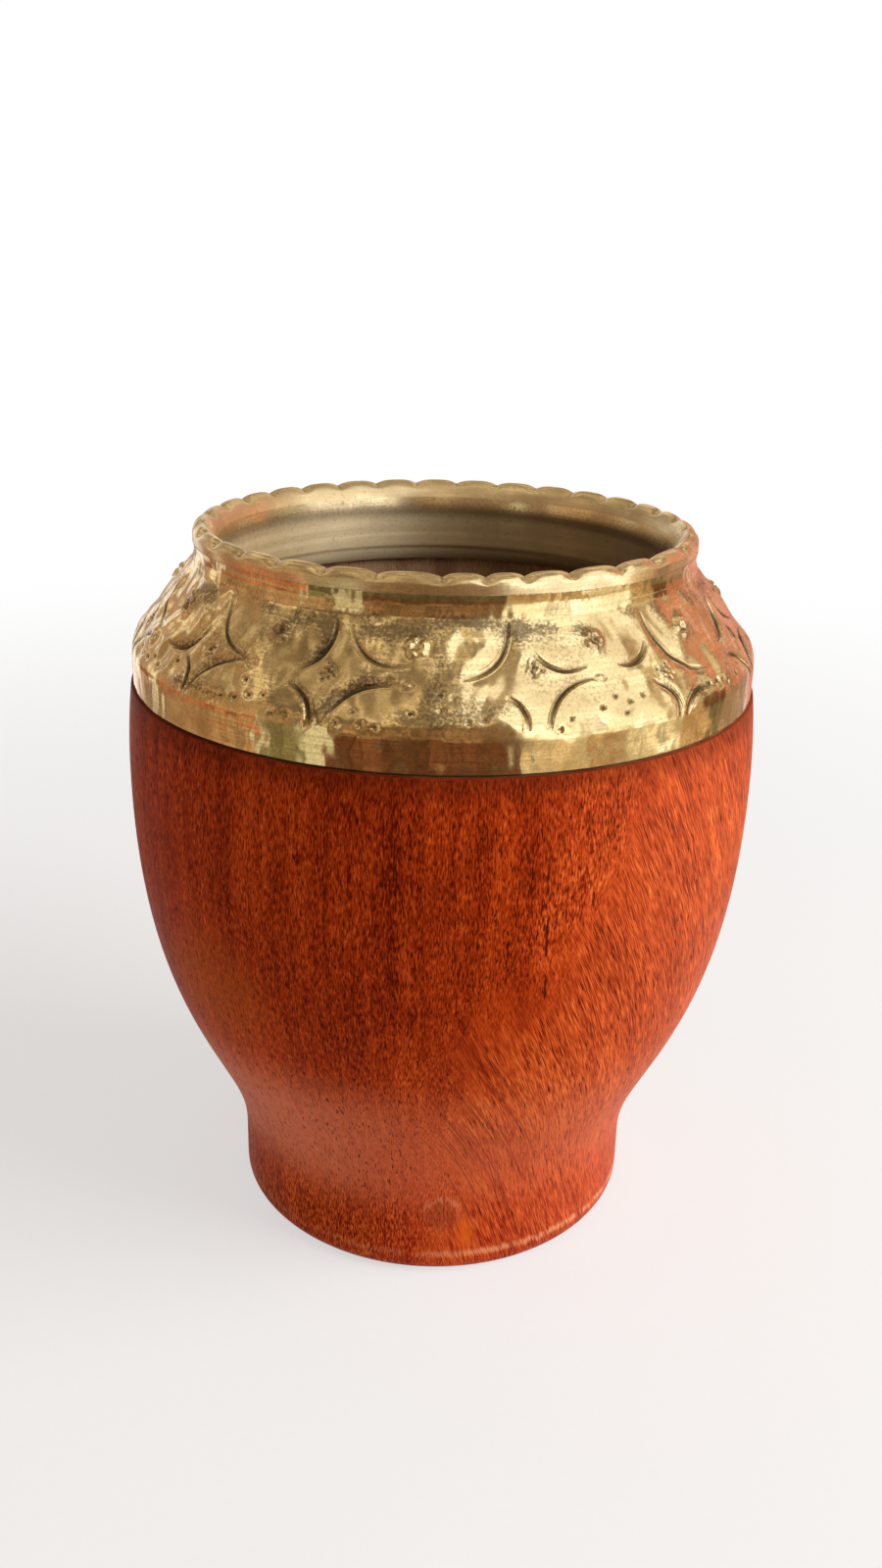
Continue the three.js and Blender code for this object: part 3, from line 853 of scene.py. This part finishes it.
relief = np.clip(relief, RELIEF_LOW, RELIEF_HIGH)
collar_radius, collar_height = (
    np.concatenate([face[:, None] + relief * outwards[:, None], all_round(back, COLLAR_COLUMNS)])
    for face, outwards, back in [(face_radius, face_out, back_radius), (face_height, face_up, back_height)])
collar_mesh = turned_mesh("chased_collar", collar_radius, collar_height, crease=80)
collar_paint = {"hollow": np.clip(hollow, 0, 1), "line": chisel_gap, "cut": chisel_cut,
                "patina": np.clip(patina, 0, 1.3), "satin": 0.12 * on_slope + 0 * relief}
unpainted_back = np.zeros((len(back_radius), COLLAR_COLUMNS))
for attribute, values in collar_paint.items():
    paint(collar_mesh, attribute, np.concatenate([values, unpainted_back]))
collar_mesh.materials.append(
    brass_finish("collar_brass", COLLAR_BRIGHT, COLLAR_DULL, COLLAR_GLOSS, COLLAR_LINES))
chased_collar = add_object(collar_mesh)
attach(chased_collar, "root")
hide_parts("brass_collar")

# Mouth sleeve
# A spun brass lining that covers the bored wood at the mouth: straight, with a flared top under the
# bead and a turned-out lower lip. Satin from spinning and streaked around, with painted shade in
# bands and on the wall that faces away from the lamp.

sleeve_low, sleeve_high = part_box("mouth_sleeve")
SLEEVE_FOOT = sleeve_low.z / MM
SLEEVE_TOP = sleeve_high.z / MM
MOUTH_RADIUS = NECK_RADIUS - 3.5
MOUTH_FLARE = 0.45
SLEEVE_BACK = MOUTH_RADIUS + SHEET
LIP_HEIGHT = SLEEVE_FOOT + 1.8
SHADE_RING_HEIGHT = SLEEVE_TOP - 1.75
# The azimuth of the inner wall that faces away from the lamp, where painted shade makes the sleeve
# darkest and it is least brushed.
SHADED_SIDE = math.radians(125)
SLEEVE_COLUMNS = 256
SLEEVE_BRIGHT, SLEEVE_DULL = (0.76, 0.60, 0.29), (0.52, 0.39, 0.18)
SLEEVE_GLOSS, SLEEVE_LINES, SLEEVE_SPREAD = 0.14, 0.004, 0.8

sleeve_inner = outline((MOUTH_RADIUS + MOUTH_FLARE, SLEEVE_TOP), [
    ([(MOUTH_RADIUS + 0.12, SLEEVE_TOP - 1.0), (MOUTH_RADIUS + 0.05, SLEEVE_TOP - 2.0)], 12),
    ([(MOUTH_RADIUS, SLEEVE_TOP - 2.9), (MOUTH_RADIUS - 0.1, LIP_HEIGHT)], 22),
    ([(MOUTH_RADIUS - 0.14, SLEEVE_FOOT + 0.6), (MOUTH_RADIUS + 0.3, SLEEVE_FOOT)], 10),
])
sleeve_outer = outline((MOUTH_RADIUS + 0.9, SLEEVE_FOOT), [
    ([(SLEEVE_BACK, LIP_HEIGHT)], 4),
    ([(SLEEVE_BACK, SLEEVE_TOP - 2.6)], 2),
    ([(SLEEVE_BACK + MOUTH_FLARE, SLEEVE_TOP)], 4),
])
sleeve_section = np.concatenate([sleeve_inner, sleeve_outer], 1)
sleeve_radius, sleeve_height = (all_round(part, SLEEVE_COLUMNS) for part in sleeve_section)
sleeve_mesh = turned_mesh("spun_sleeve", sleeve_radius, sleeve_height, crease=50)
# Painted shade: a dark ring under the flare, a dark line above the lip, the wall that faces away from
# the lamp, and the lip itself.
shaded_side = 0.5 + 0.5 * np.cos(azimuths(SLEEVE_COLUMNS) - SHADED_SIDE)
sleeve_shade = 0.6 * bell(sleeve_height, SHADE_RING_HEIGHT, 0.8) + 0.45 * bell(sleeve_height, LIP_HEIGHT, 0.25)
sleeve_shade = sleeve_shade + 0.78 * shaded_side ** 3 * soft_step(sleeve_height, SHADE_RING_HEIGHT + 1, SHADE_RING_HEIGHT - 1)
sleeve_shade = sleeve_shade + 0.25 * soft_step(sleeve_height, SLEEVE_FOOT + 2.2, SLEEVE_FOOT + 1.6)
brushed = soft_step(sleeve_height, SHADE_RING_HEIGHT + 0.9, SHADE_RING_HEIGHT - 0.7) * (1 - 0.55 * shaded_side)
paint(sleeve_mesh, "shade", np.clip(sleeve_shade, 0, 1))
paint(sleeve_mesh, "satin", 0.2 + 0.8 * brushed)
paint(sleeve_mesh, "patina", 0.1 + 0.22 * bell(sleeve_height, SHADE_RING_HEIGHT, 1.4))
sleeve_mesh.materials.append(
    brass_finish("sleeve_brass", SLEEVE_BRIGHT, SLEEVE_DULL, SLEEVE_GLOSS, SLEEVE_LINES, SLEEVE_SPREAD))
spun_sleeve = add_object(sleeve_mesh)
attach(spun_sleeve, "root")
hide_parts("mouth_sleeve")

# Rim bead
# A brass ring soldered on top of the neck and the sleeve, so that all three run on without a step. Filed
# notches over its crest leave thirty-two scallops, unevenly spaced by hand; the crests are worn bright.

bead_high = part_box("rim_bead")[1]
BEAD_TOP = bead_high.z / MM
BEAD_OUTER = bead_high.x / MM
BEAD_INNER = MOUTH_RADIUS + MOUTH_FLARE
BEAD_ROUND = 1.3
BEAD_CREST = BEAD_OUTER - BEAD_ROUND
BEAD_COLUMNS = 1240
# Azimuths of the notches in front. The rest share the back evenly, up to the first one again.
FRONT_NOTCHES = [-48.5, -37.0, -25.0, -13.8, -0.5, 8.3, 16.4, 26.5, 38.9, 50.5, 65.5]
BACK_NOTCHES = 22
NOTCH_DEPTH = 0.5
# Azimuth and width of the painted shade on the inner flank, where it faces away from the lamp.
BEAD_SHADED_SIDE, BEAD_SHADED_WIDTH = math.radians(122), math.radians(24)
BEAD_BRIGHT, BEAD_DULL = (0.76, 0.59, 0.27), (0.50, 0.37, 0.15)
BEAD_GLOSS, BEAD_LINES = 0.14, 0.004

bead_out, bead_up = outline((BEAD_OUTER - SHEET, NECK_TOP), [
    ([(BEAD_OUTER, NECK_TOP)], 1),
    ([(BEAD_OUTER, BEAD_TOP - BEAD_ROUND)], 4),
    ([(BEAD_OUTER, BEAD_TOP - 0.65), (BEAD_CREST + 0.7, BEAD_TOP - 0.15),
      (BEAD_CREST + 0.15, BEAD_TOP - 0.03)], 12),
    ([(BEAD_CREST, BEAD_TOP), (BEAD_CREST - 0.25, BEAD_TOP - 0.12)], 5),
    ([(BEAD_INNER + 0.85, BEAD_TOP - 0.55), (BEAD_INNER + 0.3, SLEEVE_TOP + 0.9),
      (BEAD_INNER, SLEEVE_TOP)], 12),
])
back_notches = np.linspace(FRONT_NOTCHES[-1], FRONT_NOTCHES[0] + 360, BACK_NOTCHES + 1)[1:]
notches = np.radians(np.concatenate([FRONT_NOTCHES, back_notches]))
bead_turn = azimuths(BEAD_COLUMNS)
past_first = (bead_turn - notches[0]) % TURN
scallop_share = np.interp(past_first, notches - notches[0], np.arange(len(notches))) % 1
notch = np.abs(2 * scallop_share - 1)[None, :] ** 3
reach = soft_step(bead_up, BEAD_TOP - 1.25, BEAD_TOP - 0.4)
reach = (reach * soft_step(bead_out, BEAD_INNER + 0.35, BEAD_CREST - 0.35))[:, None]
# A notch cuts inwards on the outer flank and downwards on the crest.
bead_cut = NOTCH_DEPTH * reach * notch
bead_lean = np.clip((bead_out - BEAD_CREST) / BEAD_ROUND, 0, 1)[:, None]
bead_radius = bead_out[:, None] - bead_cut * bead_lean
bead_height = bead_up[:, None] - bead_cut * np.sqrt(1 - bead_lean ** 2)
bead_mesh = turned_mesh("scalloped_bead", bead_radius, bead_height, crease=60)
bead_inward = soft_step(bead_out, BEAD_CREST, BEAD_INNER + 0.3)
# Painted shade in the crease where the bead sits on the neck; with dirt, also in the notch creases.
joint_shade = bell(bead_up, NECK_TOP, 0.22) * (bead_out > BEAD_OUTER - 0.1)
paint(bead_mesh, "satin", all_round(0.15 + 0.2 * bead_inward, BEAD_COLUMNS))
# Painted shade on the inner flank, on the side that faces away from the lamp.
paint(bead_mesh, "shade", 0.4 * bead_inward[:, None] * bell(bead_turn, BEAD_SHADED_SIDE, BEAD_SHADED_WIDTH))
paint(bead_mesh, "hollow", 0.6 * reach * notch ** 4 + 0.55 * joint_shade[:, None])
bead_mesh.materials.append(brass_finish("bead_brass", BEAD_BRIGHT, BEAD_DULL, BEAD_GLOSS, BEAD_LINES))
scalloped_bead = add_object(bead_mesh)
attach(scalloped_bead, "root")
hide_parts("rim_bead")

# Studio
# A plain pale floor, a white surround that is dimmer overhead, one broad soft lamp on the right, cards
# that only polished surfaces show, and the camera at the photograph's angle.

CAMERA_PLACE = Vector((0, -178.82, 126.85)) * MM
CAMERA_PITCH, CAMERA_ROLL, CAMERA_YAW = (math.radians(angle) for angle in (21.10, 1.319, 0.045))
FOCAL_PIXELS, IMAGE_HEIGHT, SENSOR = 1473, 1600, 36.0
LAMP_PLACE, LAMP_AIM = Vector((0.58, -0.17, 0.40)), Vector((0, 0, 0.05))
LAMP_SIZE, LAMP_POWER = 0.5, 5.6
PLAIN_WHITE = (1.0, 1.0, 1.0)
OVERHEAD_DIM, OVERHEAD_BRIGHT = (0.26, 0.19, 0.15), (1.15, 0.97, 0.80)
SURROUND_LIGHT = 0.55
FLOOR_DIM, FLOOR_BRIGHT = (0.80, 0.80, 0.79), (0.84, 0.84, 0.83)
FLOOR_REACH = 6

forward = Vector((math.sin(CAMERA_YAW) * math.cos(CAMERA_PITCH),
                  math.cos(CAMERA_YAW) * math.cos(CAMERA_PITCH), -math.sin(CAMERA_PITCH)))
level = forward.cross(Vector((0, 0, 1))).normalized()
upright = level.cross(forward)
camera_x = math.cos(CAMERA_ROLL) * level + math.sin(CAMERA_ROLL) * upright
camera_y = math.cos(CAMERA_ROLL) * upright - math.sin(CAMERA_ROLL) * level
camera_turn = Matrix((camera_x, camera_y, -forward)).transposed().to_4x4()
lens = bpy.data.cameras.new("camera")
lens.sensor_width = SENSOR
lens.lens = SENSOR * FOCAL_PIXELS / IMAGE_HEIGHT
lens.clip_start = 0.01
camera = add_object(lens)
camera.matrix_world = Matrix.Translation(CAMERA_PLACE) @ camera_turn
bpy.context.scene.camera = camera

key_light = bpy.data.lights.new("key_lamp", "AREA")
key_light.size = LAMP_SIZE
key_light.energy = LAMP_POWER
key_lamp = add_object(key_light)
lamp_turn = (LAMP_AIM - LAMP_PLACE).to_track_quat("-Z", "Y").to_matrix().to_4x4()
key_lamp.matrix_world = Matrix.Translation(LAMP_PLACE) @ lamp_turn
key_lamp.visible_glossy = False


def seen_ray(tone):
    """1 for camera, glossy and transmission rays, which see the pale surround, and 0 for the rest."""
    seen = path = tone.node("ShaderNodeLightPath", output="Is Camera Ray")
    for kind in ("Is Glossy Ray", "Is Transmission Ray"):
        seen = path.maths("MAXIMUM", seen, path.other(kind))
    return seen


world, sky = new_finish(bpy.data.worlds, "surround")
aim = sky.node("ShaderNodeTexCoord", output="Generated")
overhead = aim.noise(4.0, 2.0).smooth(0.40, 0.60).mix(OVERHEAD_DIM, OVERHEAD_BRIGHT)
tint = aim.axes()[2].smooth(0.06, 0.5).mix(PLAIN_WHITE, overhead)
tint = sky.node("ShaderNodeLightPath", output="Is Camera Ray").mix(tint, PLAIN_WHITE)
seen = seen_ray(sky)
strength = seen + (1 - seen) * SURROUND_LIGHT
backdrop = sky.node("ShaderNodeBackground", inputs={"Color": tint, "Strength": strength})
sky.node("ShaderNodeOutputWorld", inputs={"Surface": backdrop})
bpy.context.scene.world = world

floor_material, start = new_finish(bpy.data.materials, "pale_floor")
paper = start.node("ShaderNodeTexCoord", output="Object")
paper_colour = paper.noise(900.0, 2.0).mix(FLOOR_DIM, FLOOR_BRIGHT)
matt = paper.node("ShaderNodeBsdfDiffuse", inputs={"Color": paper_colour})
glow = paper.node("ShaderNodeEmission", inputs={"Color": PLAIN_WHITE, "Strength": 1.0})
from_cup = paper.vector("LENGTH").other("Value")
whiten = 0.6 + from_cup.smooth(0.08, 0.4) * 0.4
blend = paper.node("ShaderNodeMixShader", inputs={0: seen_ray(paper) * whiten, 1: matt, 2: glow})
paper.node("ShaderNodeOutputMaterial", inputs={"Surface": blend})
SQUARE = [(-1, -1), (1, -1), (1, 1), (-1, 1)]
floor_mesh = bpy.data.meshes.new("floor")
floor_mesh.from_pydata([(a * FLOOR_REACH, b * FLOOR_REACH, 0) for a, b in SQUARE], [], [(0, 1, 2, 3)])
floor_mesh.materials.append(floor_material)
floor = add_object(floor_mesh)


def mirror_card(name, points, faces, colours):
    """Cards that only polished surfaces show, one colour to a face. They are hidden from the camera,
    and cast no shadow and no light on anything matt."""
    mesh = bpy.data.meshes.new(name)
    mesh.from_pydata(points, [], faces)
    opaque = np.append(np.array(colours, float), np.ones((len(colours), 1)), 1)
    mesh.attributes.new("paint", "FLOAT_COLOR", "FACE").data.foreach_set("color", opaque.ravel())
    material, begin = new_finish(bpy.data.materials, name)
    shade = begin.node("ShaderNodeAttribute", {"attribute_name": "paint"}, output="Color")
    light = begin.node("ShaderNodeEmission", inputs={"Color": shade, "Strength": 1.0})
    begin.node("ShaderNodeOutputMaterial", inputs={"Surface": light})
    mesh.materials.append(material)
    card = add_object(mesh)
    card.visible_camera = card.visible_diffuse = False
    card.visible_shadow = card.visible_transmission = False


# A ring of cards around the cup, each a strip of floor with an upright end: its azimuths from the
# front, the colours of three stretches of the floor, from the cup outwards, and of the end, and the
# height of the end in mm.
WHITE, CREAM, SAND = (2.0, 2.0, 2.4), (1.15, 1.05, 0.98), (0.98, 0.82, 0.70)
TAN, BROWN, UMBER = (0.80, 0.55, 0.39), (0.58, 0.39, 0.29), (0.33, 0.20, 0.135)
RUST, BRICK, CORAL = (0.40, 0.17, 0.105), (0.62, 0.25, 0.17), (0.98, 0.42, 0.33)
DARK, DUSK, OLIVE = (0.24, 0.095, 0.06), (0.17, 0.14, 0.11), (0.34, 0.31, 0.20)
RING_CARDS = [
    (-178, -154, (BROWN, BROWN, BROWN), BROWN, 160),
    (-152, -138, (CREAM, CREAM, CREAM), CREAM, 260),
    (-136, -122, (BRICK, BROWN, RUST), BROWN, 450),
    (-122, -114, (CREAM, CREAM, CREAM), CREAM, 450),
    (-114, -62, (BRICK, BROWN, BRICK), BROWN, 450),
    (-60, -46, (DUSK, OLIVE, OLIVE), BROWN, 450),
    (-36, 26, (DUSK, DARK, UMBER), UMBER, 360),
    (28, 46, (TAN, SAND, WHITE), WHITE, 450),
    (48, 62, (TAN, TAN, WHITE), WHITE, 450),
    (62, 84, (CREAM, CREAM, WHITE), WHITE, 450),
    (86, 102, (TAN, TAN, TAN), TAN, 160),
    (102, 112, (OLIVE, OLIVE, DARK), DARK, 160),
    (112, 138, (BROWN, BROWN, BROWN), CORAL, 500),
    (140, 176, (CORAL, CORAL, CORAL), CORAL, 300),
]
# Each card is cut into strips so many degrees wide, lies this high in mm, and its stretches end at
# these distances in m. The ends of the inner ones and the shades are uneven.
CARD_STEP, CARD_LIFT = 2, 0.4
CARD_REACHES = np.array([0.11, 0.2, 0.3, 0.6])
REACH_SPREAD, SHADE_SPREAD = 0.02, 0.25
unevenness = np.random.default_rng(5)
ring_points, ring_colours = [], []
for left, right, floor_colours, end_colour, end_height in RING_CARDS:
    starts = np.radians(np.arange(left, right, CARD_STEP))
    reaches = CARD_REACHES + unevenness.normal(0, REACH_SPREAD, (len(starts), 4)) * (0, 1, 1, 0)
    outer = np.append(reaches[:, 1:], reaches[:, 3:], 1)
    reach_out = np.stack([reaches, reaches, outer, outer], -1)
    lift = np.full_like(reach_out, CARD_LIFT)
    lift[:, 3, 2:] = end_height
    turn = (starts[:, None] + np.radians(CARD_STEP) * np.array([0, 1, 1, 0]))[:, None, :]
    corners = np.stack([reach_out * np.sin(turn), -reach_out * np.cos(turn), lift * MM], -1)
    shade = unevenness.normal(1, SHADE_SPREAD, (len(starts), 4, 1))
    ring_points.append(corners.reshape(-1, 3))
    ring_colours.append((np.array([*floor_colours, end_colour]) * shade).reshape(-1, 3))
ring_points = np.concatenate(ring_points)
ring_faces = np.arange(len(ring_points)).reshape(-1, 4).tolist()
mirror_card("ring_cards", ring_points, ring_faces, np.concatenate(ring_colours))

# The broad card over the right shoulder that the sloping face mirrors.
SOFTBOX_PLACE, SOFTBOX_COLOUR = Vector((0.425, -0.226, 0.615)), (1.75, 1.78, 2.05)
softbox_side = Vector((0, 0, 1)).cross(SOFTBOX_PLACE).normalized() * 0.38
softbox_rise = SOFTBOX_PLACE.cross(softbox_side).normalized() * 0.22
softbox_corners = [SOFTBOX_PLACE + a * softbox_side + b * softbox_rise for a, b in SQUARE]
mirror_card("softbox_card", softbox_corners, [(0, 1, 2, 3)], [SOFTBOX_COLOUR])

bpy.context.scene.view_settings.view_transform = "Standard"
